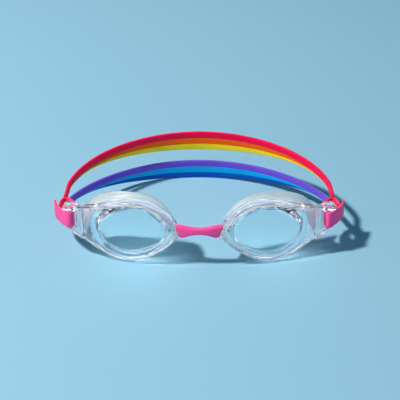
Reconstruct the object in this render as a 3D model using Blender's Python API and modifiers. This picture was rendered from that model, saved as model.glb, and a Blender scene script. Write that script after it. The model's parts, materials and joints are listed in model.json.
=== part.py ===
"""Swim goggles with a split strap, modelled at their real size in metres, +Z up, -Y forward.

The goggles stand on the ground plane as they do on a table: the eye cups on their seals in front,
the lower strap band touching the ground behind. Each cup is modelled in its own axes: u runs from
the nose to the temple, d from the front to the back, and z up.
"""

import math

import bmesh
import bpy
from mathutils import Euler, Matrix, Vector

MM = 0.001
GAP = 0.3 * MM  # left between pieces that touch

# Place of the eye cups
TILT = math.radians(9)  # the cups lean back
YAW = math.radians(11)  # each cup turns back towards its temple
BRIDGE_HEIGHT = 24.783 * MM  # middle of the nose bridge above the ground
FRONT_TO_MIDDLE = 44.913 * MM  # from the bridge's front to the middle of the whole object
CUP_X = 13.5 * MM  # each cup's own origin, beside the bridge
CUP_Y = 1.0 * MM
CUP_HINGE_U = -1.0 * MM  # where the bridge bends beside each cup, in the cup's axes
CUP_HINGE_D = 4.0 * MM

# Depths of the cup's pieces, from the front of the lens
FRAME_FRONT = 1.2 * MM
FRAME_BACK = 7.2 * MM
LENS_THICKNESS = 1.7 * MM
LENS_BACK = 4.8 * MM
SEAL_FRONT = FRAME_BACK + GAP
SEAL_BACK = 11.3 * MM
SEAL_WRAP = 2.6 * MM  # how much further back the seal reaches at the temple

# Outlines seen from the front, in millimetres of u and z. Each starts at the temple and runs over the top
# to the nose, and back below. The window, the opening and the seal have matching points.
WINDOW = [
    (40.9, -0.6), (38.3, 2.3), (33.0, 6.6), (21.5, 9.8), (12.5, 7.3), (8.0, 3.2), (6.2, -2.4),
    (8.4, -8.0), (15.0, -13.3), (24.5, -16.6), (33.4, -14.6), (38.6, -9.4), (40.7, -4.5),
]
OPENING = [
    (46.8, 1.6), (44.2, 5.4), (34.0, 9.4), (22.5, 11.1), (10.6, 8.3), (3.8, 2.6), (1.6, -3.0),
    (3.4, -9.2), (12.4, -16.0), (24.5, -20.2), (37.0, -18.2), (44.4, -12.6), (46.7, -5.5),
]
SEAL_EDGE = [
    (53.0, 1.6), (49.6, 8.0), (38.5, 13.8), (25.0, 15.3), (12.0, 12.2), (4.8, 5.4), (2.6, -2.5),
    (4.2, -9.8), (12.5, -17.2), (25.0, -22.2), (39.0, -20.2), (48.6, -13.2), (52.6, -5.5),
]
FRAME_EDGE = [
    (51.0, 6.4), (45.0, 7.4), (34.5, 11.2), (24.0, 12.9), (15.0, 12.2), (7.5, 8.6), (1.0, 2.6),
    (-0.4, -2.8), (0.6, -7.6), (5.4, -12.8), (12.3, -18.0), (22.0, -21.9), (30.0, -22.0),
    (38.8, -19.5), (47.4, -14.4), (51.0, -12.0),
]
LUG_EDGE = [(2.6, 3.2), (0.65, 2.4), (-2.55, -5.7), (2.4, -7.4)]
LOOP_STEPS = 4  # straight pieces between two points of an outline

# Temple clip, in the cup's axes
CLIP_START = 51.3 * MM
CLIP_BACK = 6.9 * MM
CLIP_TOP = 6.4 * MM
CLIP_BOTTOM = -6.3 * MM
SLOT_START = 55.7 * MM  # the strap's slot, between the clip's body and its post
SLOT_HALF_HEIGHT = 5.1 * MM
POST_START = 59.2 * MM
POST_END = 62.1 * MM
POST_FRONT = 4.5 * MM
POST_BACK = 9.8 * MM
POST_CORNER = 1.4 * MM
POST_CAP = 0.5 * MM  # how far the post's ends stand above and below the clip's arms
RELIEF_U = 53.3 * MM  # a second, narrow slot beside it
RELIEF_WIDTH = 1.1 * MM
TONGUE_LENGTH = 1.9 * MM  # how far the frame's tongue reaches into the clip
TONGUE_HEIGHT = 7.0 * MM
TONGUE_DEPTH = 2.0 * MM

# Nose bridge
BRIDGE_HALF_X = 11.3 * MM
BRIDGE_SLOPE = 0.379  # its end faces lean out at the top
BRIDGE_END_HALF_Z = 3.65 * MM
BRIDGE_MIDDLE_HALF_Z = 1.75 * MM
BRIDGE_HALF_Y = 1.7 * MM
BRIDGE_Y = 3.9 * MM
BRIDGE_Z = -2.1 * MM
PEG_D = 3.05 * MM  # middle of the bridge's pegs, in the cup's axes
PEG_END = 0.0 * MM  # how far along u the pegs reach
PEG_HALF_Z = 1.7 * MM
PEG_HALF_D = 0.9 * MM
SOCKET_ROOM = 0.35 * MM  # round the pegs, so that the joint can bend

# Strap
STRAP_THICKNESS = 1.5 * MM
END_WIDTH = 9.0 * MM
PLAN_HALF_X = 75.3 * MM  # the bands follow an ellipse seen from above
PLAN_HALF_Y = 62.2 * MM
PLAN_Y = 25.8 * MM  # the ellipse's middle, behind the front of the bridge
BASE_WIDTH = 4.0 * MM  # the coloured edge strip that each band keeps to its ends
STRIPE_WIDTH = 3.75 * MM  # each of the two further stripes, at the back of the head
STRIPE_END_WIDTH = 0.5 * MM
UPPER_RISE = 4.6 * MM
UPPER_BASE_HEIGHT = 30.5 * MM  # middle of the red strip at the back of the head
UPPER_STRIPE_END = 70  # degrees round from the back of the head where its stripes end
JUNCTION_START = 75.0  # degrees round, where the upper band starts to drop to the strap end
JUNCTION_END = 83.6
JUNCTION_DROP = 3.0 * MM
LOWER_RISE = 10.5 * MM
LOWER_STRIPE_END = 64
ROOT_START = 83.0  # degrees round: where the bands leave the strap ends
BAND_START = 73.5
SWING_Y = 32.6 * MM  # axis on which the bands swing, through both strap ends
SWING_Z = 21.5 * MM

COLOURS = {
    "clear_plastic": ((0.86, 0.88, 0.95), 0.08),
    "clear_lens": ((0.93, 0.96, 1.0), 0.04),
    "seal": ((0.78, 0.84, 0.80), 0.45),
    "pink": ((0.88, 0.11, 0.38), 0.42),
    "red": ((0.61, 0.004, 0.045), 0.45),
    "orange": ((0.76, 0.10, 0.01), 0.45),
    "yellow": ((0.68, 0.58, 0.04), 0.45),
    "purple": ((0.14, 0.07, 0.51), 0.45),
    "light_blue": ((0.0, 0.30, 0.68), 0.45),
    "dark_blue": ((0.0, 0.05, 0.38), 0.45),
}


def clear_scene():
    for old in list(bpy.data.objects):
        bpy.data.objects.remove(old, do_unlink=True)


def material(name):
    colour, roughness = COLOURS[name]
    made = bpy.data.materials.get(name) or bpy.data.materials.new(name)
    made.use_nodes = True
    shader = made.node_tree.nodes["Principled BSDF"]
    shader.inputs["Base Color"].default_value = (*colour, 1.0)
    shader.inputs["Roughness"].default_value = roughness
    shader.inputs["Metallic"].default_value = 0.0
    return made


def collection(name):
    made = bpy.data.collections.new(name)
    bpy.context.scene.collection.children.link(made)
    return made


def empty(name, location, rotation=(0, 0, 0), parent=None):
    made = bpy.data.objects.new(name, None)
    made.empty_display_size = 5 * MM
    made.location = location
    made.rotation_euler = rotation
    made.parent = parent
    PARTS.objects.link(made)
    return made


def piece(name, mesh, colour, parent, location=(0, 0, 0)):
    """An object of the goggles, with its own material."""
    made = bpy.data.objects.new(name, mesh)
    made.location = location
    made.parent = parent
    PARTS.objects.link(made)
    mesh.materials.clear()
    mesh.materials.append(material(colour))
    mesh.shade_smooth()
    mesh.set_sharp_from_angle(angle=math.radians(35))
    return made


def cutter(name, mesh, parent=None, location=(0, 0, 0)):
    made = bpy.data.objects.new(name, mesh)
    made.location = location
    made.parent = parent
    made.hide_render = True
    made.display_type = "WIRE"
    CUTTERS.objects.link(made)
    return made


def boolean(target, other, operation):
    made = target.modifiers.new(other.name, "BOOLEAN")
    made.operation = operation
    made.object = other
    made.solver = "EXACT"
    return made


# ---------------------------------------------------------------- shapes


def smooth_loop(points, corners=()):
    """A closed smooth curve through the points, as short straight pieces. Corners stay sharp."""
    count = len(points)
    found = []
    for i in range(count):
        before, here, there, after = (Vector(points[(i + k) % count]) for k in (-1, 0, 1, 2))
        leave = (there - before) / 6
        arrive = (after - here) / 6
        if i in corners:
            leave = (there - here) / 3
        if (i + 1) % count in corners:
            arrive = (there - here) / 3
        for step in range(LOOP_STEPS):
            t = step / LOOP_STEPS
            found.append(
                here * (1 - t) ** 3
                + (here + leave) * 3 * t * (1 - t) ** 2
                + (there - arrive) * 3 * t * t * (1 - t)
                + there * t**3
            )
    return [p * MM for p in found]


def grown(loop, distance):
    """The outline moved outwards, or inwards for a negative distance."""
    count = len(loop)
    moved = []
    for i in range(count):
        along = (loop[(i + 1) % count] - loop[i - 1]).normalized()
        moved.append(loop[i] + Vector((along.y, -along.x)) * distance)
    return moved


def mixed(first, second, share):
    return [a.lerp(b, share) for a, b in zip(first, second)]


def ring(loop, depth, side):
    """An outline as points in space. The depth is a number or a function of u."""
    found = []
    for p in loop:
        d = depth(p.x) if callable(depth) else depth
        found.append(Vector((side * p.x, d, p.y)))
    return found


def loft(name, rings, closed=False):
    """A skin through rings of equal count: closed into a tube, or else capped at both ends."""
    mesh = bpy.data.meshes.new(name)
    bm = bmesh.new()
    rows = [[bm.verts.new(p) for p in r] for r in rings]
    count = len(rows[0])
    joins = list(zip(rows, rows[1:]))
    if closed:
        joins.append((rows[-1], rows[0]))
    else:
        bm.faces.new(rows[0])
        bm.faces.new(rows[-1])
    for low, high in joins:
        for i in range(count):
            k = (i + 1) % count
            bm.faces.new((low[i], low[k], high[k], high[i]))
    bmesh.ops.recalc_face_normals(bm, faces=bm.faces)
    bm.to_mesh(mesh)
    bm.free()
    return mesh


def plate(name, loops, front, back, side, rounding=0.0, resolution=1):
    """A flat piece with the outlines' shape, and holes where an outline lies inside another."""
    curve = bpy.data.curves.new(name, "CURVE")
    curve.dimensions = "2D"
    curve.fill_mode = "BOTH"
    curve.extrude = (back - front) / 2 - rounding
    curve.bevel_depth = rounding
    curve.bevel_resolution = resolution
    curve.offset = -rounding
    for loop in loops:
        spline = curve.splines.new("POLY")
        spline.points.add(len(loop) - 1)
        for point, place in zip(spline.points, loop):
            point.co = (place.x, place.y, 0, 1)
        spline.use_cyclic_u = True
    guide = bpy.data.objects.new(name, curve)
    PARTS.objects.link(guide)
    bpy.context.view_layer.update()
    seen = guide.evaluated_get(bpy.context.evaluated_depsgraph_get())
    mesh = bpy.data.meshes.new_from_object(seen)
    bpy.data.objects.remove(guide, do_unlink=True)
    bm = bmesh.new()
    bm.from_mesh(mesh)
    bmesh.ops.remove_doubles(bm, verts=bm.verts, dist=0.005 * MM)
    middle = (front + back) / 2
    for v in bm.verts:
        v.co = Vector((side * v.co.x, middle - v.co.z, v.co.y))
    bmesh.ops.recalc_face_normals(bm, faces=bm.faces)
    bm.to_mesh(mesh)
    bm.free()
    return mesh


def block(name, low, high, side=1):
    """A box between two corners in the cup's axes."""
    mesh = bpy.data.meshes.new(name)
    bm = bmesh.new()
    size = Vector(high) - Vector(low)
    middle = (Vector(high) + Vector(low)) / 2
    middle.x *= side
    bmesh.ops.create_cube(bm, size=1.0, matrix=Matrix.Translation(middle) @ Matrix.Diagonal((*size, 1)))
    bm.to_mesh(mesh)
    bm.free()
    return mesh


def ribbon(name, rows, thickness, colour, parent, location=(0, 0, 0)):
    """A strip between two edge lines, given as pairs of points, thickened evenly to both sides."""
    mesh = bpy.data.meshes.new(name)
    bm = bmesh.new()
    bmesh.ops.create_grid(bm, x_segments=len(rows) - 1, y_segments=1, size=0.5)
    last = len(rows) - 1
    for v in bm.verts:
        row = rows[round((v.co.x + 0.5) * last)]
        v.co = row[1] if v.co.y > 0 else row[0]
    bm.to_mesh(mesh)
    bm.free()
    made = piece(name, mesh, colour, parent, location)
    solid = made.modifiers.new("thickness", "SOLIDIFY")
    solid.thickness = thickness
    solid.offset = 0
    solid.use_even_offset = True
    return made


# ---------------------------------------------------------------- eye cups


def seal_depth(u):
    """The face side of the seal reaches further back at the temple."""
    share = max(0.0, u / MM - 25) / 28
    return SEAL_BACK + SEAL_WRAP * share * share


def lens(side, parent, location):
    window = smooth_loop(WINDOW, corners=(0,))
    opening = grown(smooth_loop(OPENING), -GAP)
    inner = grown(opening, -1.5 * MM)
    rings = [
        ring(window, 0.0, side),
        ring(mixed(window, opening, 0.12), 0.3 * MM, side),
        ring(mixed(window, opening, 0.8), 1.5 * MM, side),
        ring(opening, 2.3 * MM, side),
        ring(opening, LENS_BACK, side),
        ring(inner, LENS_BACK, side),
        ring(mixed(window, inner, 0.85), 3.3 * MM, side),
        ring(mixed(window, inner, 0.1), LENS_THICKNESS, side),
    ]
    return piece(f"lens_{SIDES[side]}", loft("lens", rings), "clear_lens", parent, location)


def frame(side, parent, location):
    outer = smooth_loop(FRAME_EDGE, corners=(0, len(FRAME_EDGE) - 1))
    opening = smooth_loop(OPENING)
    body = plate("frame", [outer, opening], FRAME_FRONT, FRAME_BACK, side, rounding=0.6 * MM)
    made = piece(f"frame_{SIDES[side]}", body, "clear_plastic", parent, location)
    lug_loop = [Vector(p) * MM for p in LUG_EDGE]
    lug = plate("lug", [lug_loop], FRAME_FRONT + 0.2 * MM, 6.4 * MM, side, rounding=0.3 * MM)
    ring_space = plate("opening", [smooth_loop(OPENING)], -1 * MM, 9 * MM, side)
    socket = block(
        "socket",
        (-5.0 * MM, PEG_D - PEG_HALF_D - SOCKET_ROOM, BRIDGE_Z - PEG_HALF_Z - SOCKET_ROOM),
        (PEG_END + SOCKET_ROOM, PEG_D + PEG_HALF_D + SOCKET_ROOM, BRIDGE_Z + PEG_HALF_Z + SOCKET_ROOM),
        side,
    )
    tongue = block(
        "tongue",
        (47.5 * MM, CLIP_BACK / 2 + FRAME_FRONT / 2 - TONGUE_DEPTH / 2, -TONGUE_HEIGHT / 2),
        (51.0 * MM + TONGUE_LENGTH, CLIP_BACK / 2 + FRAME_FRONT / 2 + TONGUE_DEPTH / 2, TONGUE_HEIGHT / 2),
        side,
    )
    for mesh, operation in ((lug, "UNION"), (tongue, "UNION"), (socket, "DIFFERENCE")):
        boolean(made, cutter(f"{made.name}_{mesh.name}", mesh, parent, location), operation)
    boolean(made, cutter(f"{made.name}_opening", ring_space, parent, location), "DIFFERENCE")
    return made


def seal(side, parent, location):
    front = grown(smooth_loop(OPENING), 2.6 * MM)
    neck = grown(smooth_loop(OPENING), 2.0 * MM)
    inside = smooth_loop(OPENING)
    edge = smooth_loop(SEAL_EDGE)

    def back(extra):
        return lambda u: seal_depth(u) + extra * MM

    def partway(share):
        return lambda u: SEAL_FRONT + (seal_depth(u) - SEAL_FRONT) * share

    rings = [
        ring(front, SEAL_FRONT, side),
        ring(front, SEAL_FRONT + 0.7 * MM, side),
        ring(mixed(neck, edge, 0.1), partway(0.4), side),
        ring(mixed(neck, edge, 0.6), partway(0.75), side),
        ring(edge, back(0.0), side),
        ring(grown(edge, -0.5 * MM), back(0.55), side),
        ring(grown(edge, -1.4 * MM), back(0.6), side),
        ring(grown(edge, -2.3 * MM), back(0.1), side),
        ring(mixed(inside, edge, 0.1), partway(0.55), side),
        ring(inside, SEAL_FRONT, side),
    ]
    name = f"seal_{SIDES[side]}"
    return piece(name, loft("seal", rings, closed=True), "seal", parent, location)


def temple_clip(side, parent, location):
    """The buckle at the temple, with the post that the strap wraps."""
    low_start = -11.8 * MM
    body_loop = [
        Vector((CLIP_START, low_start)),
        Vector((60.3 * MM, CLIP_BOTTOM)),
        Vector((61.4 * MM, -5.2 * MM)),
        Vector((61.4 * MM, CLIP_TOP - 1.0 * MM)),
        Vector((60.4 * MM, CLIP_TOP)),
        Vector((CLIP_START, CLIP_TOP)),
    ]
    body = plate("clip", [body_loop], FRAME_FRONT, CLIP_BACK, side, rounding=0.4 * MM)
    made = piece(f"temple_clip_{SIDES[side]}", body, "clear_plastic", parent, location)
    post_rings = []
    for inset, z in (
        (0.5 * MM, CLIP_BOTTOM - 0.1 * MM),
        (0.0, CLIP_BOTTOM + POST_CAP),
        (0.0, CLIP_TOP),
        (0.5 * MM, CLIP_TOP + POST_CAP),
    ):
        low = (POST_START + inset, POST_FRONT + inset)
        high = (POST_END - inset, POST_BACK - inset)
        post_rings.append([Vector((side * x, y, z)) for x, y in rounded_box(low, high, POST_CORNER - inset)])
    post = loft("post", post_rings)
    slot = block(
        "slot",
        (SLOT_START, -2 * MM, -SLOT_HALF_HEIGHT),
        (POST_END + 2 * MM, 12 * MM, SLOT_HALF_HEIGHT),
        side,
    )
    relief = block(
        "relief",
        (RELIEF_U, -2 * MM, -SLOT_HALF_HEIGHT),
        (RELIEF_U + RELIEF_WIDTH, FRAME_FRONT + 1.6 * MM, SLOT_HALF_HEIGHT),
        side,
    )
    pocket = block(
        "pocket",
        (CLIP_START - 2 * MM, CLIP_BACK / 2 + FRAME_FRONT / 2 - TONGUE_DEPTH / 2 - GAP, -TONGUE_HEIGHT / 2 - GAP),
        (
            CLIP_START + TONGUE_LENGTH + 0.1 * MM,
            CLIP_BACK / 2 + FRAME_FRONT / 2 + TONGUE_DEPTH / 2 + GAP,
            TONGUE_HEIGHT / 2 + GAP,
        ),
        side,
    )
    for mesh in (slot, relief, pocket):
        boolean(made, cutter(f"{made.name}_{mesh.name}", mesh, parent, location), "DIFFERENCE")
    boolean(made, cutter(f"{made.name}_post", post, parent, location), "UNION")
    return made


def rounded_box(low, high, radius, steps=4):
    """The outline of a rectangle with round corners."""
    found = []
    x0, y0 = low[0] + radius, low[1] + radius
    x1, y1 = high[0] - radius, high[1] - radius
    for quarter, (x, y) in enumerate(((x1, y1), (x0, y1), (x0, y0), (x1, y0))):
        for step in range(steps + 1):
            angle = math.pi / 2 * (quarter + step / steps)
            found.append((x + radius * math.cos(angle), y + radius * math.sin(angle)))
    return found


# ---------------------------------------------------------------- nose bridge


def bridge_section(along, half_y=BRIDGE_HALF_Y, points=16):
    """A rounded section of the bridge; along runs from -1 at one end face to 1 at the other."""
    waist = 0.5 - 0.5 * math.cos(math.pi * min(1.0, abs(along)))
    half_z = BRIDGE_MIDDLE_HALF_Z + (BRIDGE_END_HALF_Z - BRIDGE_MIDDLE_HALF_Z) * waist**1.3
    found = []
    for i in range(points):
        angle = 2 * math.pi * (i + 0.5) / points
        c, s = math.cos(angle), math.sin(angle)
        y = half_y * math.copysign(abs(c) ** 0.45, c)
        z = half_z * math.copysign(abs(s) ** 0.45, s)
        reach = BRIDGE_HALF_X + BRIDGE_SLOPE * z - math.tan(YAW) * y
        found.append(Vector((along * reach, BRIDGE_Y + y, BRIDGE_Z + z)))
    return found


def nose_bridge(parent, cups):
    """The pink bridge, with a peg at each end in the frame's socket."""
    stations = [-1.0, -0.97] + [k / 9 for k in range(-8, 9)] + [0.97, 1.0]
    made = piece(
        "nose_bridge", loft("bridge", [bridge_section(s) for s in stations]), "pink", parent
    )
    for side, cup in cups.items():
        low = (-3.6 * MM, PEG_D - PEG_HALF_D, BRIDGE_Z - PEG_HALF_Z)
        peg = block("peg", low, (PEG_END, PEG_D + PEG_HALF_D, BRIDGE_Z + PEG_HALF_Z), side)
        boolean(made, cutter(f"bridge_peg_{SIDES[side]}", peg, cup), "UNION")
    return made


# ---------------------------------------------------------------- strap


def end_path():
    """Route of the strap end seen from above, in the cup's u and d: from the loose tail across the post's
    front, through the slot, round behind the post, and forward again outside it under the tail."""
    tail = [(70.6, 14.2), (69.8, 12.2), (68.0, 9.2), (65.3, 6.0)]
    across = [(62.4, 3.1), (60.3, 1.4), (58.7, 0.7)]
    slot = [(57.7, 1.2), (57.4, 2.4), (57.4, 5.0), (57.4, 8.0), (57.6, 10.4)]
    behind = [(58.5, 12.6), (60.5, 15.2), (63.2, 17.8), (65.2, 18.9)]
    forward = [(66.3, 18.7), (67.0, 17.3), (67.3, 14.8), (67.2, 12.2), (66.4, 10.0)]
    return [Vector(p) * MM for p in tail + across + slot + behind + forward]


def strap_end(side, parent):
    rows = []
    for p in end_path():
        rows.append(
            (Vector((side * p.x, p.y, -END_WIDTH / 2)), Vector((side * p.x, p.y, END_WIDTH / 2)))
        )
    return ribbon(f"strap_end_{SIDES[side]}", rows, STRAP_THICKNESS * 0.87, "pink", parent)


def plan(degrees):
    """A point of the bands' ellipse; 0 is the back of the head, negative to the left."""
    a = math.radians(degrees)
    return Vector((PLAN_HALF_X * math.sin(a), PLAN_Y + PLAN_HALF_Y * math.cos(a), 0))


def stripe_width(degrees, end):
    if abs(degrees) >= end:
        return STRIPE_END_WIDTH
    share = math.cos(math.radians(90 * degrees / end)) ** 2
    return STRIPE_END_WIDTH + (STRIPE_WIDTH - STRIPE_END_WIDTH) * share


def upper_height(degrees):
    share = (abs(degrees) - JUNCTION_START) / (JUNCTION_END - JUNCTION_START)
    share = min(1.0, max(0.0, share))
    drop = JUNCTION_DROP * share * share * (3 - 2 * share)
    return UPPER_BASE_HEIGHT - UPPER_RISE * (abs(degrees) / 90) ** 1.5 - drop


def lower_height(degrees):
    lowest = BASE_WIDTH / 2 + 2 * (STRIPE_WIDTH + GAP)
    return lowest + LOWER_RISE * (abs(degrees) / 90) ** 3.4


def stripe(name, colour, height, end, order, start, parent):
    """One lengthwise strip of a band. Order 0 is the top strip, 1 and 2 the stripes below it."""
    count = 2 * round(start / 4.5)
    rows = []
    for k in range(count + 1):
        degrees = start * (2 * k / count - 1)
        top = height(degrees) + BASE_WIDTH / 2
        width = BASE_WIDTH
        if order:
            width = stripe_width(degrees, end)
            top -= BASE_WIDTH + GAP + (order - 1) * (width + GAP)
        place = plan(degrees)
        rows.append((place + Vector((0, 0, top - width)), place + Vector((0, 0, top))))
    return ribbon(name, rows, STRAP_THICKNESS, colour, parent, SWING_OFFSET)


def root(name, colour, height, side, parent):
    """The short first stretch of a band, which bends when the band swings."""
    rows = []
    for k in range(7):
        degrees = side * (ROOT_START + (BAND_START + 0.3 - ROOT_START) * k / 6)
        middle = plan(degrees) + Vector((0, 0, height(degrees)))
        half = Vector((0, 0, BASE_WIDTH / 2))
        rows.append((middle - half, middle + half))
    return ribbon(name, rows, STRAP_THICKNESS, colour, parent, SWING_OFFSET)


# ---------------------------------------------------------------- assembly

SIDES = {-1: "left", 1: "right"}
SWING_OFFSET = (0, -SWING_Y, -SWING_Z)


def build():
    ground = empty("ground_origin", (0, -FRONT_TO_MIDDLE, 0))
    face = empty("face_axes", (0, 0, BRIDGE_HEIGHT), (-TILT, 0, 0), ground)
    cups = {}
    for side, word in SIDES.items():
        place = Vector((side * CUP_X, CUP_Y, 0))
        turn = Euler((0, 0, side * YAW))
        cups[side] = empty(f"{word}_cup_axes", place, turn, face)
        hinge = Vector((side * CUP_HINGE_U, CUP_HINGE_D, 0))
        bend = empty(f"{word}_cup_hinge", hinge, parent=cups[side])
        for make in (frame, lens, seal, temple_clip):
            make(side, bend, -hinge)
        strap_end(side, cups[side])
    nose_bridge(face, cups)
    for height, end, names, base in (
        (upper_height, UPPER_STRIPE_END, ("red", "orange", "yellow"), "upper"),
        (lower_height, LOWER_STRIPE_END, ("purple", "light_blue", "dark_blue"), "lower"),
    ):
        swing = empty(f"{base}_swing_axis", (0, SWING_Y, SWING_Z), parent=ground)
        for order, colour in enumerate(names):
            start = end if order else BAND_START
            stripe(f"{base}_band_{colour}", colour, height, end, order, start, swing)
        for side in SIDES:
            root(f"{base}_root_{SIDES[side]}", names[0], height, side, swing)


clear_scene()
PARTS = collection("swim_goggles")
CUTTERS = collection("cutters")
build()
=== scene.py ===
"""Looks of the swim goggles: fine meshes and materials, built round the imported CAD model.

Each eye cup is modelled in its own axes, which come from the model's joints and mounts: u runs from
the nose to the temple, d from the front to the back, and z up.
"""

import json
import math

import bmesh
import bpy
import numpy as np
from mathutils import Euler, Matrix, Vector


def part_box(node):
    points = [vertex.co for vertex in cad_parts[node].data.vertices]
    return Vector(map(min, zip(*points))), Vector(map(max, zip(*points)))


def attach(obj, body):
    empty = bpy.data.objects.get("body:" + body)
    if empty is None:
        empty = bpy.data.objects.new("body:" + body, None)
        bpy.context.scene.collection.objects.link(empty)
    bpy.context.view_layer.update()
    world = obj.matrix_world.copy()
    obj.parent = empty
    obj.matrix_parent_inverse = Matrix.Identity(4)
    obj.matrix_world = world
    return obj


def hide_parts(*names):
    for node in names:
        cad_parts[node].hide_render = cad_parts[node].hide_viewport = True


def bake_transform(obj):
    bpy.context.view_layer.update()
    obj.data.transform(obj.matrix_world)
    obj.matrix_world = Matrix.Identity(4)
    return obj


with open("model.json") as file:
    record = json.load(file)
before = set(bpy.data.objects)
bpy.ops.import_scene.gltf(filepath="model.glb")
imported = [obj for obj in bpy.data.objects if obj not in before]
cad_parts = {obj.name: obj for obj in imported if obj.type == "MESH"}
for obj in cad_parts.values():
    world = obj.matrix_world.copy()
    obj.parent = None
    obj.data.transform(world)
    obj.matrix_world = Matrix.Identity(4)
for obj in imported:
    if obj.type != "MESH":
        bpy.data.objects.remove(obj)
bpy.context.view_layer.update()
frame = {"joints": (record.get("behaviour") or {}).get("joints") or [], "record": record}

MM = 0.001
SIDES = {"left": -1, "right": 1}
JOINTS = {joint["name"]: joint for joint in frame["joints"]}
MOUNTS = {mount["name"]: mount for mount in frame["record"]["mounts"]}

# ---------------------------------------------------------------- places, from the model

CUP_HINGE = Vector((-1.0, 4.0, 0.0)) * MM  # each cup's hinge, in the cup's axes
UP = Vector(JOINTS["right_cup_flex"]["axis"])
TILT = math.atan2(UP.y, UP.z)
YAW = math.asin(MOUNTS["right_lens_front"]["axis"][0])
RED_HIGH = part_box("upper_band_red")[1]


def cup_matrix(side):
    turn = Euler((-TILT, 0, 0)).to_matrix() @ Euler((0, 0, side * YAW)).to_matrix()
    hinge = Vector(JOINTS["right_cup_flex"]["pos_m"])
    hinge.x *= side
    place = hinge - turn @ Vector((side * CUP_HINGE.x, CUP_HINGE.y, 0))
    return Matrix.Translation(place) @ turn.to_4x4()


# ---------------------------------------------------------------- curves


def spline(points, steps, closed=False):
    """Points on a curve of continuous curvature through the given ones."""
    knots = [Vector(p) for p in points]
    if closed:
        knots.append(knots[0])
    values = np.array(knots, float)
    spans = np.linalg.norm(np.diff(values, axis=0), axis=1)
    slopes = np.diff(values, axis=0) / spans[:, None]
    n = len(spans)
    matrix = np.zeros((n + 1, n + 1))
    right = np.zeros_like(values)
    for i in range(1, n):
        matrix[i, i - 1 : i + 2] = spans[i - 1], 2 * (spans[i - 1] + spans[i]), spans[i]
        right[i] = 6 * (slopes[i] - slopes[i - 1])
    matrix[0, 0] = 1
    if closed:
        matrix[0, n] = -1
        matrix[n, [0, 1]] = 2 * spans[0], spans[0]
        matrix[n, [n - 1, n]] = spans[-1], 2 * spans[-1]
        right[n] = 6 * (slopes[0] - slopes[-1])
    else:
        matrix[n, n] = 1
    bends = np.linalg.solve(matrix, right)
    found = []
    for i, span in enumerate(spans):
        for b in np.arange(steps) / steps:
            a = 1 - b
            bow = ((a**3 - a) * bends[i] + (b**3 - b) * bends[i + 1]) * span**2 / 6
            found.append(Vector(a * values[i] + b * values[i + 1] + bow))
    if not closed:
        found.append(knots[-1])
    return found


# Outlines of the cup's pieces seen from the front, in millimetres of u and z, from the temple over the top
WINDOW = [
    (40.9, -0.6), (38.3, 2.3), (33.0, 6.6), (21.5, 9.8), (12.5, 7.3), (8.0, 3.2), (6.2, -2.4),
    (8.4, -8.0), (15.0, -13.3), (24.5, -16.6), (33.4, -14.6), (38.6, -9.4), (40.7, -4.5),
]
OPENING = [
    (46.8, 1.6), (44.2, 5.4), (34.0, 9.4), (22.5, 11.1), (10.6, 8.3), (3.8, 2.6), (1.6, -3.0),
    (3.4, -9.2), (12.4, -16.0), (24.5, -20.2), (37.0, -18.2), (44.4, -12.6), (46.7, -5.5),
]
SEAL_EDGE = [
    (53.0, 1.6), (49.6, 8.0), (38.5, 13.8), (25.0, 15.3), (12.0, 12.2), (4.8, 5.4), (2.6, -2.5),
    (4.2, -9.8), (12.5, -17.2), (25.0, -22.2), (39.0, -20.2), (48.6, -13.2), (52.6, -5.5),
]
FRAME_EDGE = [
    (51.0, 7.3), (45.0, 8.2), (34.5, 11.5), (24.0, 12.9), (15.0, 12.2), (7.5, 8.6), (1.0, 2.6),
    (-0.4, -2.8), (0.6, -7.6), (5.4, -12.8), (12.3, -18.0), (22.0, -21.9), (30.0, -22.0),
    (38.8, -19.5), (47.4, -14.4), (51.0, -12.0),
]
CUP_MIDDLE = Vector((24.5, -3.5)) * MM
ROUND = 264  # points round each outline
CURVE_STEPS = 24


def around(points, corner=False, straight_end=False):
    """The outline as points in evenly spaced directions from the cup's middle.

    The first direction is towards the window's corner at the temple. The outline is smooth all round, or it
    has a corner at its first point, or a straight edge between its last point and its first.
    """
    if corner or straight_end:
        line = spline(points + ([points[0]] if corner else []), CURVE_STEPS)
    else:
        line = spline(points, CURVE_STEPS, closed=True)
    if straight_end:
        line += [line[-1].lerp(line[0], k / CURVE_STEPS) for k in range(1, CURVE_STEPS)]
    spokes = [p * MM - CUP_MIDDLE for p in line]
    angles = np.unwrap([math.atan2(p.y, p.x) for p in spokes])
    if angles[-1] < angles[0]:
        spokes, angles = spokes[::-1], angles[::-1]
    lengths = np.array([p.length for p in spokes])
    turn = 2 * math.pi
    angles = np.concatenate([angles - turn, angles, angles + turn])
    lengths = np.tile(lengths, 3)
    first = Vector(WINDOW[0]) * MM - CUP_MIDDLE
    start = math.atan2(first.y, first.x)
    found = []
    for k in range(ROUND):
        angle = start + turn * k / ROUND
        reach = np.interp(angle, angles, lengths)
        found.append(CUP_MIDDLE + Vector((math.cos(angle), math.sin(angle))) * reach)
    return found


def grown(loop, distance):
    """The outline moved outwards, or inwards for a negative distance."""
    count = len(loop)
    moved = []
    for i in range(count):
        along = (loop[(i + 1) % count] - loop[i - 1]).normalized()
        moved.append(loop[i] + Vector((along.y, -along.x)) * distance)
    return moved


def mixed(first, second, share):
    return [a.lerp(b, share) for a, b in zip(first, second)]


# ---------------------------------------------------------------- mesh tools

PLATE_EDGE_STEPS = 3
BOX_CORNER_STEPS = 8
CORNER_STEPS = 6
SAME_PLACE = 0.005 * MM  # points closer than this are one point
CUT_EDGE_ANGLE = 30  # degrees between faces, from which an edge of a cut moulding is sharp
SOFT_EDGE_ANGLE = 50  # the same for silicone


def put_in_scene(name, data):
    made = bpy.data.objects.new(name, data)
    bpy.context.scene.collection.objects.link(made)
    return made


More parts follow.
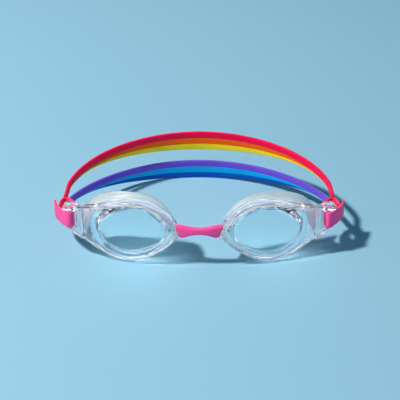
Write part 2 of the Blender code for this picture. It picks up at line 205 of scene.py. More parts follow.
def add_object(name, mesh, paint, smooth=35):
    """An object with smooth shading, and sharp edges from an angle in degrees; 0 keeps all edges smooth."""
    made = put_in_scene(name, mesh)
    mesh.materials.append(paint)
    mesh.shade_smooth()
    if smooth:
        mesh.set_sharp_from_angle(angle=math.radians(smooth))
    return made


def loft(name, rings, closed=False):
    """A skin through rings of equal count: closed into a loop, or else capped at both ends."""
    mesh = bpy.data.meshes.new(name)
    bm = bmesh.new()
    rows = [[bm.verts.new(p) for p in r] for r in rings]
    count = len(rows[0])
    joins = list(zip(rows, rows[1:]))
    if closed:
        joins.append((rows[-1], rows[0]))
    else:
        bm.faces.new(rows[0])
        bm.faces.new(rows[-1])
    for low, high in joins:
        for i in range(count):
            k = (i + 1) % count
            bm.faces.new((low[i], low[k], high[k], high[i]))
    bmesh.ops.recalc_face_normals(bm, faces=bm.faces)
    bm.to_mesh(mesh)
    bm.free()
    return mesh


def ring(loop, depth, side):
    """An outline as points in the cup's axes. The depth is a number or a function of u."""
    return [Vector((side * p.x, depth(p.x) if callable(depth) else depth, p.y)) for p in loop]


def plate(name, loop, front, back, side, rounding):
    """A flat piece with the outline's shape and round edges."""
    curve = bpy.data.curves.new(name, "CURVE")
    curve.dimensions = "2D"
    curve.fill_mode = "BOTH"
    curve.extrude = (back - front) / 2 - rounding
    curve.bevel_depth = rounding
    curve.bevel_resolution = PLATE_EDGE_STEPS
    curve.offset = -rounding
    line = curve.splines.new("POLY")
    line.points.add(len(loop) - 1)
    for point, place in zip(line.points, loop):
        point.co = (place.x, place.y, 0, 1)
    line.use_cyclic_u = True
    guide = put_in_scene(name, curve)
    bpy.context.view_layer.update()
    seen = guide.evaluated_get(bpy.context.evaluated_depsgraph_get())
    mesh = bpy.data.meshes.new_from_object(seen)
    bpy.data.objects.remove(guide, do_unlink=True)
    bm = bmesh.new()
    bm.from_mesh(mesh)
    bmesh.ops.remove_doubles(bm, verts=bm.verts, dist=SAME_PLACE)
    for v in bm.verts:
        v.co = Vector((side * v.co.x, (front + back) / 2 - v.co.z, v.co.y))
    bmesh.ops.recalc_face_normals(bm, faces=bm.faces)
    bm.to_mesh(mesh)
    bm.free()
    return mesh


def rounded_box(low, high, radius):
    """The outline of a rectangle with round corners."""
    found = []
    x0, y0 = low[0] + radius, low[1] + radius
    x1, y1 = high[0] - radius, high[1] - radius
    for quarter, (x, y) in enumerate(((x1, y1), (x0, y1), (x0, y0), (x1, y0))):
        for step in range(BOX_CORNER_STEPS + 1):
            angle = math.pi / 2 * (quarter + step / BOX_CORNER_STEPS)
            found.append(Vector((x + radius * math.cos(angle), y + radius * math.sin(angle))))
    return found


def rounded_corners(points, radii):
    """A polygon's outline with each corner rounded by its own radius."""
    found = []
    count = len(points)
    for i, radius in enumerate(radii):
        here = Vector(points[i])
        back = (Vector(points[i - 1]) - here).normalized()
        on = (Vector(points[(i + 1) % count]) - here).normalized()
        half = back.angle(on) / 2
        reach = radius / math.tan(half)
        start, end = here + back * reach, here + on * reach
        for k in range(CORNER_STEPS + 1):
            t = k / CORNER_STEPS
            found.append(start * (1 - t) ** 2 + here * 2 * t * (1 - t) + end * t * t)
    return found


def combine(target, other_mesh, operation):
    """Joins a mesh to the object, or cuts it out of it, for good."""
    tool = put_in_scene("tool", other_mesh)
    step = target.modifiers.new("step", "BOOLEAN")
    step.object = tool
    step.operation = operation
    step.solver = "MANIFOLD"
    bpy.context.view_layer.update()
    seen = target.evaluated_get(bpy.context.evaluated_depsgraph_get())
    mesh = bpy.data.meshes.new_from_object(seen)
    target.modifiers.remove(step)
    target.data = mesh
    bpy.data.objects.remove(tool, do_unlink=True)


def bevel(target, width, segments, angle):
    """Rounds the edges where two faces meet at more than an angle in degrees."""
    made = target.modifiers.new("edges", "BEVEL")
    made.width = width
    made.segments = segments
    made.limit_method = "ANGLE"
    made.angle_limit = math.radians(angle)
    made.harden_normals = True


def finish_cuts(piece):
    """Smooth shading again after joining and cutting, with the cut edges sharp."""
    mesh = piece.data
    mesh.shade_smooth()
    mesh.set_sharp_from_angle(angle=math.radians(CUT_EDGE_ANGLE))


def place_cup(piece, word, node):
    """Puts a piece made in the cup's axes on its cup, in place of its CAD node."""
    piece.data.transform(cup_matrix(SIDES[word]))
    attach(piece, f"{word}_cup")
    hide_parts(node)


# ---------------------------------------------------------------- materials

COLOURS = {
    "pink_silicone": (0.94, 0.09, 0.335),
    "red_silicone": (0.93, 0.002, 0.07),
    "orange_silicone": (0.98, 0.13, 0.004),
    "yellow_silicone": (0.92, 0.68, 0.015),
    "purple_silicone": (0.15, 0.075, 0.60),
    "light_blue_silicone": (0.0, 0.38, 0.78),
    "dark_blue_silicone": (0.0, 0.085, 0.46),
}
GLOW = {"pink_silicone": 0.35, "red_silicone": 0.6, "orange_silicone": 0.6, "yellow_silicone": 0.5}
PLAIN_GLOW = 0.15  # the share of light that soaks through the colours without a glow of their own
MOTTLE_DARKER = 0.92
MOTTLE_SCALE = 90.0
MOTTLE_EDGES = (0.35, 0.65)
# Partly painted shade: the red at the back darkens the hollow of the wrap, besides the dye running into the
# red band
RED_DYE_AND_SHADE_AT_BACK = (0.88, 0.05, 0.14)
PINK_CHANGE = (-29 * MM, -14 * MM)  # the pink ends redden between these places, front to back, partly as dye and partly as painted shade
REFLECTION_FULL = 0.95  # the slant from which clear plastic shows only its painted reflection colour


def new_material(name, **sockets):
    made = bpy.data.materials.new(name)
    made.use_nodes = True
    shader = made.node_tree.nodes["Principled BSDF"]
    for socket, value in sockets.items():
        target = shader.inputs[socket.replace("_", " ")]
        target.default_value = (*value, 1.0) if isinstance(value, tuple) else value
    return made


def add_node(paint, kind, **values):
    made = paint.node_tree.nodes.new(kind)
    for name, value in values.items():
        made.inputs[name.replace("_", " ")].default_value = value
    return made


def join(paint, source, target):
    paint.node_tree.links.new(source, target)


def shader_of(paint):
    return paint.node_tree.nodes["Principled BSDF"]


def add_grain(paint, scale, strength, distance, detail=4.0):
    """Fine unevenness of a moulded surface, as bump."""
    place = add_node(paint, "ShaderNodeTexCoord")
    noise = add_node(paint, "ShaderNodeTexNoise", Scale=scale, Detail=detail, Roughness=0.6)
    bump = add_node(paint, "ShaderNodeBump", Strength=strength, Distance=distance)
    join(paint, place.outputs["Object"], noise.inputs["Vector"])
    join(paint, noise.outputs["Fac"], bump.inputs["Height"])
    join(paint, bump.outputs["Normal"], shader_of(paint).inputs["Normal"])


def colour_by(paint, source, stops):
    """Runs the base colour through (position, colour) stops by a value from 0 to 1."""
    ramp = add_node(paint, "ShaderNodeValToRGB")
    for element, (position, colour) in zip(ramp.color_ramp.elements, stops):
        element.position = position
        element.color = (*colour, 1.0)
    join(paint, source, ramp.inputs["Fac"])
    join(paint, ramp.outputs["Color"], shader_of(paint).inputs["Base Color"])


def mottle(paint, colour):
    """A colour that is slightly darker in places."""
    place = add_node(paint, "ShaderNodeTexCoord")
    noise = add_node(paint, "ShaderNodeTexNoise", Scale=MOTTLE_SCALE, Detail=3.0)
    join(paint, place.outputs["Object"], noise.inputs["Vector"])
    darker = tuple(c * MOTTLE_DARKER for c in colour)
    colour_by(paint, noise.outputs["Fac"], zip(MOTTLE_EDGES, (darker, colour)))


def redden_backwards_with_painted_shade(paint, colour):
    """The pink turns redder towards the back: partly the dye running into the red band, partly painted
    shade for the wrap's hollow.
    """
    place = add_node(paint, "ShaderNodeTexCoord")
    split = add_node(paint, "ShaderNodeSeparateXYZ")
    span = add_node(paint, "ShaderNodeMapRange", From_Min=PINK_CHANGE[0], From_Max=PINK_CHANGE[1])
    join(paint, place.outputs["Object"], split.inputs["Vector"])
    join(paint, split.outputs["Y"], span.inputs["Value"])
    colour_by(paint, span.outputs["Result"], ((0.0, colour), (1.0, RED_DYE_AND_SHADE_AT_BACK)))


def clear_plastic(name, face, edge, reflection_start, roughness, clarity):
    """Clear moulding: nearly colourless where it is seen face on, with a painted reflection colour where it
    is seen at a slant.
    """
    paint = new_material(
        name, Roughness=roughness, IOR=1.5, Transmission_Weight=clarity, Specular_IOR_Level=0.6,
    )
    slant = add_node(paint, "ShaderNodeLayerWeight", Blend=0.5)
    # Painted reflection: seen at a slant, the base colour turns to the edge colour, which stands in for
    # reflected colours
    colour_by(paint, slant.outputs["Facing"], ((reflection_start, face), (REFLECTION_FULL, edge)))
    add_grain(paint, 220.0, 1.6 * (1.01 - clarity), 0.3 * MM, detail=2.0)
    return paint


def silicone(name, colour):
    """Satin silicone with a fine moulded grain, which some light soaks through."""
    paint = new_material(
        name, Roughness=0.36, IOR=1.41, Subsurface_Weight=GLOW.get(name, PLAIN_GLOW),
        Subsurface_Scale=1.6 * MM, Specular_IOR_Level=0.16,
    )
    shader_of(paint).inputs["Subsurface Radius"].default_value = (1.0, 0.6, 0.5)
    if name == "pink_silicone":
        redden_backwards_with_painted_shade(paint, colour)
    else:
        mottle(paint, colour)
    add_grain(paint, 2600.0, 0.12, 0.02 * MM)
    return paint


def seal_silicone(name):
    """Milky silicone that lets much of the light through."""
    paint = new_material(
        name, Base_Color=(0.76, 0.90, 0.84), Roughness=0.28, IOR=1.36, Transmission_Weight=0.4,
        Subsurface_Weight=1.0, Subsurface_Scale=9.0 * MM,
    )
    shader_of(paint).inputs["Subsurface Radius"].default_value = (1.0, 1.0, 1.0)
    add_grain(paint, 900.0, 0.06, 0.04 * MM)
    return paint


PAINTS = {name: silicone(name, colour) for name, colour in COLOURS.items()}
# The frame's pink-lilac edge colour is a painted reflection
PAINTS["clear_plastic"] = clear_plastic(
    "clear_plastic", face=(0.98, 0.97, 1.0), edge=(0.86, 0.38, 0.66), reflection_start=0.66,
    roughness=0.02, clarity=0.94,
)
# The lens's blue edge colour is a painted reflection
PAINTS["clear_lens"] = clear_plastic(
    "clear_lens", face=(0.89, 0.975, 0.99), edge=(0.03, 0.36, 0.80), reflection_start=0.3,
    roughness=0.01, clarity=1.0,
)
PAINTS["seal_silicone"] = seal_silicone("seal_silicone")

# ---------------------------------------------------------------- eye cups

WINDOW_LOOP = around(WINDOW, corner=True)
OPENING_LOOP = around(OPENING)
SEAL_LOOP = around(SEAL_EDGE)
FRAME_LOOP = around(FRAME_EDGE, straight_end=True)
GAP = 0.3 * MM
FRAME_FRONT = 1.2 * MM
FRAME_BACK = 7.2 * MM
SEAL_FRONT = FRAME_BACK + 0.05 * MM
SEAL_BACK = 11.3 * MM
SEAL_WRAP = 2.6 * MM  # how much further back the seal reaches at the temple
SEAL_WRAP_START, SEAL_WRAP_SPAN = 25, 28  # millimetres of u over which it bends back
SEAL_FLANGE = 2.4 * MM  # the seal's front face, out from the opening
SEAL_NECK = 1.7 * MM
LENS_GAP = 0.12 * MM  # between the lens and the frame
LENS_WALL = 0.7 * MM
# The frame's section: the share of the way from the opening to the edge, and the depth in millimetres
FRAME_SECTION = [
    (0.0, 1.35), (0.10, 1.2), (0.52, 1.2), (0.62, 1.32), (0.70, 1.62), (0.82, 1.72), (0.93, 1.95),
    (1.0, 2.5), (1.0, 4.4), (1.0, 6.6), (0.95, 7.0), (0.85, 7.2), (0.45, 7.2), (0.0, 7.2), (0.0, 4.5),
]
# The lug that holds the nose bridge: its corners in millimetres of u and z, and their radii
LUG = [(3.4, 3.6), (0.65, 2.4), (-2.55, -5.7), (3.0, -7.6)]
LUG_RADII = [0.6, 0.7, 0.9, 0.6]
LUG_BACK = 6.4 * MM
EDGE_ROUNDING = 0.45 * MM  # of the frame's lug and the temple clip


def lens(word):
    """A flat window with sloping walls that meet in a crease at the temple."""
    side = SIDES[word]
    outer = grown(OPENING_LOOP, -LENS_GAP)
    inner = grown(outer, -LENS_WALL)
    # Outlines and their depths in millimetres, from the window's front face round the wall to its back face
    section = [
        (WINDOW_LOOP, 0.0),
        (mixed(WINDOW_LOOP, outer, 0.10), 0.25),
        (mixed(WINDOW_LOOP, outer, 0.82), 1.6),
        (outer, 2.3),
        (outer, 6.5),
        (inner, 6.8),
        (mixed(WINDOW_LOOP, inner, 0.55), 6.6),
        (mixed(WINDOW_LOOP, inner, 0.12), 1.9),
    ]
    rings = [ring(loop, depth * MM, side) for loop, depth in section]
    piece = add_object(f"lens_{word}_moulding", loft("lens", rings), PAINTS["clear_lens"])
    bevel(piece, 0.2 * MM, segments=3, angle=16)
    piece.visible_shadow = False  # a clear pane lets nearly all the light through
    place_cup(piece, word, f"lens_{word}")


def rim(word):
    """The clear frame round the lens, with the lug that holds the nose bridge."""
    side = SIDES[word]
    rings = [ring(mixed(OPENING_LOOP, FRAME_LOOP, share), d * MM, side) for share, d in FRAME_SECTION]
    piece = add_object(f"frame_{word}_rim", loft("rim", rings, closed=True), PAINTS["clear_plastic"])
    lug_loop = [p * MM for p in rounded_corners(LUG, LUG_RADII)]
    lug = plate("lug", lug_loop, FRAME_FRONT + 0.2 * MM, LUG_BACK, side, EDGE_ROUNDING)
    combine(piece, lug, "UNION")
    space = loft("space", [ring(OPENING_LOOP, -1 * MM, side), ring(OPENING_LOOP, 9 * MM, side)])
    combine(piece, space, "DIFFERENCE")
    finish_cuts(piece)
    place_cup(piece, word, f"frame_{word}")


def seal_depth(u):
    """Depth of the seal's face side, which bends back between the cup's middle and the temple."""
    share = max(0.0, u / MM - SEAL_WRAP_START) / SEAL_WRAP_SPAN
    return SEAL_BACK + SEAL_WRAP * share * share


def seal(word):
    """The soft flared gasket behind the frame."""
    side = SIDES[word]
    front = grown(OPENING_LOOP, SEAL_FLANGE)
    neck = grown(OPENING_LOOP, SEAL_NECK)

    def back(extra):
        return lambda u: seal_depth(u) + extra * MM

    def partway(share):
        return lambda u: SEAL_FRONT + (seal_depth(u) - SEAL_FRONT) * share

    rings = [
        ring(OPENING_LOOP, SEAL_FRONT, side),
        ring(front, SEAL_FRONT, side),
        ring(front, SEAL_FRONT + 0.7 * MM, side),
        ring(mixed(neck, SEAL_LOOP, 0.08), partway(0.38), side),
        ring(mixed(neck, SEAL_LOOP, 0.30), partway(0.60), side),
        ring(mixed(neck, SEAL_LOOP, 0.72), partway(0.82), side),
        ring(SEAL_LOOP, back(0.0), side),
        ring(grown(SEAL_LOOP, -0.5 * MM), back(0.5), side),
        ring(grown(SEAL_LOOP, -1.4 * MM), back(0.55), side),
        ring(grown(SEAL_LOOP, -2.3 * MM), back(0.1), side),
        ring(mixed(OPENING_LOOP, SEAL_LOOP, 0.22), partway(0.75), side),
        ring(mixed(OPENING_LOOP, SEAL_LOOP, 0.06), partway(0.4), side),
    ]
    mesh = loft("seal", rings, closed=True)
    piece = add_object(f"seal_{word}_gasket", mesh, PAINTS["seal_silicone"], smooth=0)
    rounder = piece.modifiers.new("rounder", "SUBSURF")
    rounder.levels = rounder.render_levels = 1
    place_cup(piece, word, f"seal_{word}")


# ---------------------------------------------------------------- temple clip

CLIP_START = 51.15 * MM
CLIP_END = 57.6 * MM
CLIP_BACK = 6.9 * MM
CLIP_TOP = 7.2 * MM
SLOT_START = 55.7 * MM
SLOT_HALF_HEIGHT = 5.0 * MM
# In millimetres: each arm's front at its end, its bottom and its top; the post's corners in u and d, its
# radius and half its height; and each groove's start, its width and half its height
ARMS = ((0.1, 5.0, 7.2), (3.2, -6.6, -5.0))
ARM_EDGE = ((0.5, 0.0), (0.14, 0.14), (0.0, 0.5))  # its round edge, in from its outline and its flat side
POST_LOW, POST_HIGH = (59.2, 4.5), (62.1, 9.8)
POST_RADIUS = 1.45
POST_HALF_HEIGHT = 5.4
GROOVES = ((54.15, 0.55, 6.0), (52.5, 0.75, 6.4))
GROOVE_DEPTH = 2.6


def clip_arm(side, front, low, high):
    """An arm seen from above, which ends in a round lug that holds the post."""
    outline = rounded_corners(
        [(54.6, 1.4), (56.2, 1.2), (60.2, front), (62.9, front + 2),
         (62.9, 8.6), (60.4, 10.2), (58.2, 8.6), (54.6, 6.7)],
        [0.5, 0.8, 1.6, 1.6, 1.6, 1.3, 1.0, 0.5],
    )
    heights = [(inset, low + rise) for inset, rise in ARM_EDGE]
    heights += [(inset, high - drop) for inset, drop in reversed(ARM_EDGE)]
    rings = [[Vector((side * p.x, p.y, z)) * MM for p in grown(outline, -inset)] for inset, z in heights]
    return loft("arm", rings)


def temple_clip(word):
    """The clear buckle at the temple: grooves, a slot, and two arms with the post that the strap wraps."""
    side = SIDES[word]
    outline = rounded_corners(
        [(CLIP_START, -11.8 * MM), (CLIP_END, -8.0 * MM), (CLIP_END, -SLOT_HALF_HEIGHT),
         (SLOT_START, -SLOT_HALF_HEIGHT), (SLOT_START, SLOT_HALF_HEIGHT), (CLIP_END, SLOT_HALF_HEIGHT),
         (CLIP_END, CLIP_TOP), (CLIP_START, CLIP_TOP)],
        [r * MM for r in (0.6, 0.6, 0.6, 1.0, 1.0, 0.6, 0.6, 0.6)],
    )
    body = plate("clip", outline, FRAME_FRONT, CLIP_BACK, side, EDGE_ROUNDING)
    piece = add_object(f"temple_clip_{word}_buckle", body, PAINTS["clear_plastic"])
    for front, low, high in ARMS:
        combine(piece, clip_arm(side, front, low, high), "UNION")
    corners = [tuple(v * MM for v in corner) for corner in (POST_LOW, POST_HIGH)]
    loop = rounded_box(*corners, POST_RADIUS * MM)
    ends = (-POST_HALF_HEIGHT * MM, POST_HALF_HEIGHT * MM)
    post = loft("post", [[Vector((side * p.x, p.y, z)) for p in loop] for z in ends])
    combine(piece, post, "UNION")
    for start, width, half in GROOVES:
        low, high = (start * MM, -half * MM), ((start + width) * MM, (half - 0.2) * MM)
        loop = rounded_box(low, high, width * 0.48 * MM)
        groove = loft("groove", [ring(loop, -1 * MM, side), ring(loop, GROOVE_DEPTH * MM, side)])
        combine(piece, groove, "DIFFERENCE")
    finish_cuts(piece)
    place_cup(piece, word, f"temple_clip_{word}")


# ---------------------------------------------------------------- nose bridge

BRIDGE_HALF_X = 11.5 * MM
BRIDGE_SLOPE = 0.379  # how much longer each end gets per unit of height
BRIDGE_END_HALF_Z = 3.75 * MM
BRIDGE_MIDDLE_HALF_Z = 1.8 * MM
BRIDGE_HALF_Y = 1.7 * MM
BRIDGE_WAIST_POWER = 1.3  # how quickly it widens from its middle to its ends
BRIDGE_BULGE = 1.3 * MM  # how far its middle stands forward
BRIDGE_Y = 3.9 * MM
BRIDGE_Z = -2.1 * MM
FACE_FORWARD = 1.0 * MM  # the bridge's axes start this far in front of the cups' middle
BRIDGE_ROUNDNESS = 0.42  # of its section: 1 would be an ellipse, 0 a rectangle
BRIDGE_POINTS = 40
BRIDGE_STEPS = 40  # sections on each side of its middle


def face_matrix():
    """Axes halfway between the cups: the cups' tilt without their yaw."""
    turn = Euler((-TILT, 0, 0)).to_matrix()
    cups_middle = (cup_matrix(1).translation + cup_matrix(-1).translation) / 2
    return Matrix.Translation(cups_middle - turn @ Vector((0, FACE_FORWARD, 0))) @ turn.to_4x4()


def bridge_section(along, shrink=0.0):
    """A rounded section of the bridge; along runs from -1 at one end face to 1 at the other."""
    waist = (0.5 - 0.5 * math.cos(math.pi * abs(along))) ** BRIDGE_WAIST_POWER
    half_z = BRIDGE_MIDDLE_HALF_Z + (BRIDGE_END_HALF_Z - BRIDGE_MIDDLE_HALF_Z) * waist - shrink
    half_y = BRIDGE_HALF_Y - shrink
    found = []
    for i in range(BRIDGE_POINTS):
        angle = 2 * math.pi * (i + 0.5) / BRIDGE_POINTS
        c, s = math.cos(angle), math.sin(angle)
        y = half_y * math.copysign(abs(c) ** BRIDGE_ROUNDNESS, c)
        z = half_z * math.copysign(abs(s) ** BRIDGE_ROUNDNESS, s)
        reach = BRIDGE_HALF_X + BRIDGE_SLOPE * z - math.tan(YAW) * y
        bulge = BRIDGE_BULGE * (1 - along * along)
        found.append(Vector((along * reach, BRIDGE_Y + y - bulge, BRIDGE_Z + z + bulge / 2)))
    return found


def nose_bridge():
    """The soft bridge between the cups, narrow in its middle, with round edges at its ends."""
    steps = range(2 - BRIDGE_STEPS, BRIDGE_STEPS - 1)
    sections = [bridge_section(-1.0, 0.45 * MM), bridge_section(-0.985, 0.12 * MM)]
    sections += [bridge_section(k / BRIDGE_STEPS) for k in steps]
    sections += [bridge_section(0.985, 0.12 * MM), bridge_section(1.0, 0.45 * MM)]
    mesh = loft("bridge", sections)
    piece = add_object("nose_bridge_moulding", mesh, PAINTS["pink_silicone"], smooth=SOFT_EDGE_ANGLE)
    piece.data.transform(face_matrix())
    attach(piece, "bridge")
    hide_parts("nose_bridge")


# ---------------------------------------------------------------- strap

STRAP_THICKNESS = 1.5 * MM
END_THICKNESS = 1.3 * MM
END_WIDTH = 9.0 * MM
PLAN_HALF_X = 75.3 * MM
PLAN_HALF_Y = 62.2 * MM
PLAN_BACK = RED_HIGH.y - STRAP_THICKNESS / 2
PLAN_Y = PLAN_BACK - PLAN_HALF_Y
BASE_WIDTH = 4.0 * MM
STRIPE_WIDTH = 3.75 * MM
UPPER_TOP = RED_HIGH.z
# How far the upper band falls and the lower band rises from the back to the side, and how late they do it
UPPER_FALL, UPPER_POWER = 4.6 * MM, 1.5
LOWER_RISE, LOWER_POWER = 10.5 * MM, 3.4
TAPER_POWER = 1.6  # of the stripes' widths
STATIONS_PER_DEGREE = 1.5
ROUTE_STEPS = 5
# Degrees round the ellipse from the back of the head
JOIN_END = {"upper": 84.1, "lower": 84.9}  # just inside the pink ends
STRIPE_END = {"upper": 76.0, "lower": 70.0}  # where the stripes under the edge strip have tapered away
JUNCTION_START = 75.0  # where the upper band starts to drop to the pink end
JUNCTION_END = 83.6
JUNCTION_DROP = 3.0 * MM
SEAM = 0.02 * MM  # between two stripes
FREE_EDGE = 0.42 * MM  # the radius of a band's own edges
SEAM_EDGE = 0.08 * MM
THINNEST = 0.02 * MM  # keeps a stripe's tip from having no width
END_EDGE = 0.4 * MM
STRAP_EDGE_STEPS = 4


def strap_section(width, thickness, edge_top, edge_bottom):
    """A flat strap's section as points of (across, up): a rectangle with round corners."""
    found = []
    half = thickness / 2
    for quarter, (x, z, radius) in enumerate((
        (half, width / 2, edge_top), (-half, width / 2, edge_top),
        (-half, -width / 2, edge_bottom), (half, -width / 2, edge_bottom),
    )):
        sx, sz = math.copysign(1, x), math.copysign(1, z)
        radius = min(radius, width * 0.45)
        middle = (x - sx * radius, z - sz * radius)
        for step in range(STRAP_EDGE_STEPS + 1):
            angle = math.pi / 2 * (quarter + step / STRAP_EDGE_STEPS)
            found.append((middle[0] + radius * math.cos(angle), middle[1] + radius * math.sin(angle)))
    return found


def sweep(name, stations, thickness, edge_top, edge_bottom):
    """A strap through stations of (middle, width), upright, with its flat sides along the route."""
    rings = []
    for i, (middle, width) in enumerate(stations):
        before = stations[max(0, i - 1)][0]
        after = stations[min(len(stations) - 1, i + 1)][0]
        along = (after - before).normalized()
        out = along.cross(Vector((0, 0, 1))).normalized()
        up = out.cross(along)
        section = strap_section(width, thickness, edge_top, edge_bottom)
        rings.append([middle + out * a + up * b for a, b in section])
    return loft(name, rings)


def plan(degrees):
    """A point of the bands' ellipse; 0 is the back of the head, negative to the left."""
    a = math.radians(degrees)
    return Vector((PLAN_HALF_X * math.sin(a), PLAN_Y + PLAN_HALF_Y * math.cos(a), 0))


def upper_height(degrees):
    """The height of the middle of the upper band's edge strip."""
    share = (abs(degrees) - JUNCTION_START) / (JUNCTION_END - JUNCTION_START)
    share = min(1.0, max(0.0, share))
    drop = JUNCTION_DROP * share * share * (3 - 2 * share)
    return UPPER_TOP - BASE_WIDTH / 2 - UPPER_FALL * (abs(degrees) / 90) ** UPPER_POWER - drop


def lower_height(degrees):
    """The same for the lower band, which rests on the table at the back."""
    lowest = BASE_WIDTH / 2 + 2 * (STRIPE_WIDTH + GAP)
    return lowest + LOWER_RISE * (abs(degrees) / 90) ** LOWER_POWER


def stripe_width(degrees, end):
    """The width of a stripe under the edge strip, which tapers away to both sides."""
    return (STRIPE_WIDTH + GAP) * math.cos(math.radians(90 * degrees / end)) ** TAPER_POWER


def stripe(band, colour, height, order):
    """One lengthwise strip of a band. Order 0 is the edge strip, which runs into the strap ends."""
    body = f"{band}_band"
    end = STRIPE_END[band]
    start = end - 1.0 if order else JOIN_END[band]
    count = 2 * round(start * STATIONS_PER_DEGREE)
    stations = []
    for k in range(count + 1):
        degrees = start * (2 * k / count - 1)
        top = height(degrees) + BASE_WIDTH / 2
        width = BASE_WIDTH
        if order:
            width = stripe_width(degrees, end) + THINNEST
            top -= BASE_WIDTH + SEAM + (order - 1) * (width + SEAM)
        stations.append((plan(degrees) + Vector((0, 0, top - width / 2)), width))
    edge_top = SEAM_EDGE if order else FREE_EDGE
    edge_bottom = FREE_EDGE if order == 2 else SEAM_EDGE
    mesh = sweep(colour, stations, STRAP_THICKNESS, edge_top, edge_bottom)
    node = f"{body}_{colour}"
    piece = add_object(f"{node}_strip", mesh, PAINTS[f"{colour}_silicone"], smooth=SOFT_EDGE_ANGLE)
    if order:
        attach(piece, body)
        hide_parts(node)
    else:
        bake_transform(piece)
        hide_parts(node, f"{band}_root_left", f"{band}_root_right")


def end_route():
    """Route of the strap end seen from above, in millimetres of the cup's u and d.

    It runs from the loose tail across the post's front, through the slot, round behind the post, and
    forward again outside it under the tail.
    """
    tail = [(70.6, 14.2), (69.8, 12.2), (68.0, 9.2), (65.3, 6.0)]
    across = [(62.4, 3.1), (60.3, 1.4), (58.7, 0.7)]
    slot = [(57.7, 1.2), (57.4, 2.4), (57.4, 5.0), (57.4, 8.0), (57.6, 10.4)]
    behind = [(58.5, 12.6), (60.5, 15.2), (63.2, 17.8), (65.2, 18.9)]
    forward = [(66.3, 18.7), (67.0, 17.3), (67.3, 14.8), (67.2, 12.2), (66.4, 10.0)]
    return tail + across + slot + behind + forward


def strap_end(word):
    """The pink end of the strap, wrapped round the temple post."""
    side = SIDES[word]
    route = spline(end_route(), ROUTE_STEPS)
    if side < 0:
        route = [Vector((-p.x, p.y)) for p in route]
    stations = [(Vector((p.x * MM, p.y * MM, 0)), END_WIDTH) for p in route]
    mesh = sweep("strap_end", stations, END_THICKNESS, END_EDGE, END_EDGE)
    piece = add_object(f"strap_end_{word}_wrap", mesh, PAINTS["pink_silicone"], smooth=SOFT_EDGE_ANGLE)
    piece.data.transform(cup_matrix(side))
    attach(piece, "strap_ends")
    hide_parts(f"strap_end_{word}")


def strap():
    for order, colour in enumerate(("red", "orange", "yellow")):
        stripe("upper", colour, upper_height, order)
    for order, colour in enumerate(("purple", "light_blue", "dark_blue")):
        stripe("lower", colour, lower_height, order)
    for word in SIDES:
        strap_end(word)


# ---------------------------------------------------------------- stage

CAMERA_ELEVATION = math.radians(37.0)
CAMERA_DISTANCE = 0.594
CAMERA_PITCH = math.radians(1.6)  # the goggles stand a little below the middle of the view
CAMERA_LENS = 100.0
CAMERA_SHIFT = 0.002
FLOOR_HALF_SIZE = 4.0
FLOOR_COLOUR = (0.265, 0.52, 0.64)
# Lights: name, direction they shine from, distance and width in metres, power in watts, colour
LIGHTS = (
    ("key", (-0.62, -0.16, 1.0), 1.6, 0.14, 31.0, (1.0, 0.885, 0.87)),
    ("left_fill", (-0.95, -0.75, 0.20), 1.8, 0.9, 5.8, (1.0, 0.97, 0.95)),
    ("right_fill", (0.75, -0.95, 0.22), 1.8, 0.9, 5.4, (1.0, 0.94, 0.94)),
)
# The studio's colours by the height of the direction: 0 and below is level with the floor, 1 straight up
ROOM_LIGHT = ((0.0, (0.012, 0.055, 0.095)), (0.9, (0.030, 0.16, 0.235)))
PANELS = (
    (0.0, (0.02, 0.12, 0.20)), (0.10, (0.10, 0.34, 0.52)), (0.15, (2.0, 2.0, 2.1)),
    (0.30, (1.9, 1.7, 1.95)), (0.35, (0.04, 0.14, 0.26)), (0.46, (0.06, 0.20, 0.34)),
    (0.52, (2.1, 2.05, 2.2)), (0.78, (1.8, 1.85, 2.0)), (0.88, (0.10, 0.32, 0.50)),
)


def camera():
    """Looks down at the front of the nose bridge."""
    data = bpy.data.cameras.new("camera")
    data.lens = CAMERA_LENS
    data.clip_start = 0.01
    data.shift_x = CAMERA_SHIFT
    made = put_in_scene("camera", data)
    front = face_matrix().translation
    back = Vector((0, -math.cos(CAMERA_ELEVATION), math.sin(CAMERA_ELEVATION)))
    made.location = front + back * CAMERA_DISTANCE
    made.rotation_euler = (math.pi / 2 - CAMERA_ELEVATION + CAMERA_PITCH, 0, 0)
    bpy.context.scene.camera = made


def floor():
    mesh = bpy.data.meshes.new("floor")
    bm = bmesh.new()
    bmesh.ops.create_grid(bm, x_segments=1, y_segments=1, size=FLOOR_HALF_SIZE)
    bm.to_mesh(mesh)
    bm.free()
    made = put_in_scene("floor", mesh)
    mesh.materials.append(
        new_material("floor_paint", Base_Color=FLOOR_COLOUR, Roughness=0.75, Specular_IOR_Level=0.03)
    )


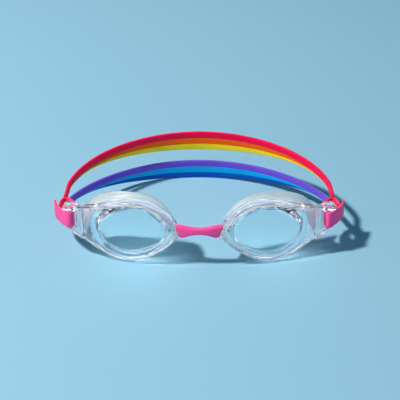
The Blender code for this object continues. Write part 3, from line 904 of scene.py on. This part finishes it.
def area_light(name, source, distance, size, power, colour):
    direction = Vector(source).normalized()
    data = bpy.data.lights.new(name, "AREA")
    data.shape = "DISK"
    data.size = size
    data.energy = power
    data.color = colour
    made = put_in_scene(name, data)
    made.location = direction * distance
    made.rotation_euler = direction.to_track_quat("Z", "Y").to_euler()


def height_ramp(nodes, links, height, stops):
    """A colour that changes with the height of the direction one looks in."""
    ramp = nodes.new("ShaderNodeValToRGB")
    elements = ramp.color_ramp.elements
    while len(elements) < len(stops):
        elements.new(0.5)
    for element, (position, colour) in zip(elements, stops):
        element.position = position
        element.color = (*colour, 1.0)
    links.new(height, ramp.inputs["Fac"])
    return ramp


def surroundings():
    """A dim even studio for the light, with bright soft panels that only gloss and clear plastic show."""
    world = bpy.data.worlds.new("studio")
    bpy.context.scene.world = world
    world.use_nodes = True
    nodes, links = world.node_tree.nodes, world.node_tree.links
    place = nodes.new("ShaderNodeTexCoord")
    split = nodes.new("ShaderNodeSeparateXYZ")
    links.new(place.outputs["Generated"], split.inputs["Vector"])
    light = height_ramp(nodes, links, split.outputs["Z"], ROOM_LIGHT)
    panels = height_ramp(nodes, links, split.outputs["Z"], PANELS)
    ray = nodes.new("ShaderNodeLightPath")
    choose = nodes.new("ShaderNodeMixRGB")
    mirrored = nodes.new("ShaderNodeMath")
    mirrored.operation = "MAXIMUM"
    links.new(ray.outputs["Is Glossy Ray"], mirrored.inputs[0])
    links.new(ray.outputs["Is Transmission Ray"], mirrored.inputs[1])
    links.new(mirrored.outputs["Value"], choose.inputs["Fac"])
    links.new(light.outputs["Color"], choose.inputs["Color1"])
    links.new(panels.outputs["Color"], choose.inputs["Color2"])
    links.new(choose.outputs["Color"], nodes["Background"].inputs["Color"])


def stage():
    camera()
    floor()
    for light in LIGHTS:
        area_light(*light)
    surroundings()
    bpy.context.scene.view_settings.view_transform = "Standard"


# ---------------------------------------------------------------- all together

for WORD in SIDES:
    lens(WORD)
    rim(WORD)
    seal(WORD)
    temple_clip(WORD)
nose_bridge()
strap()
stage()
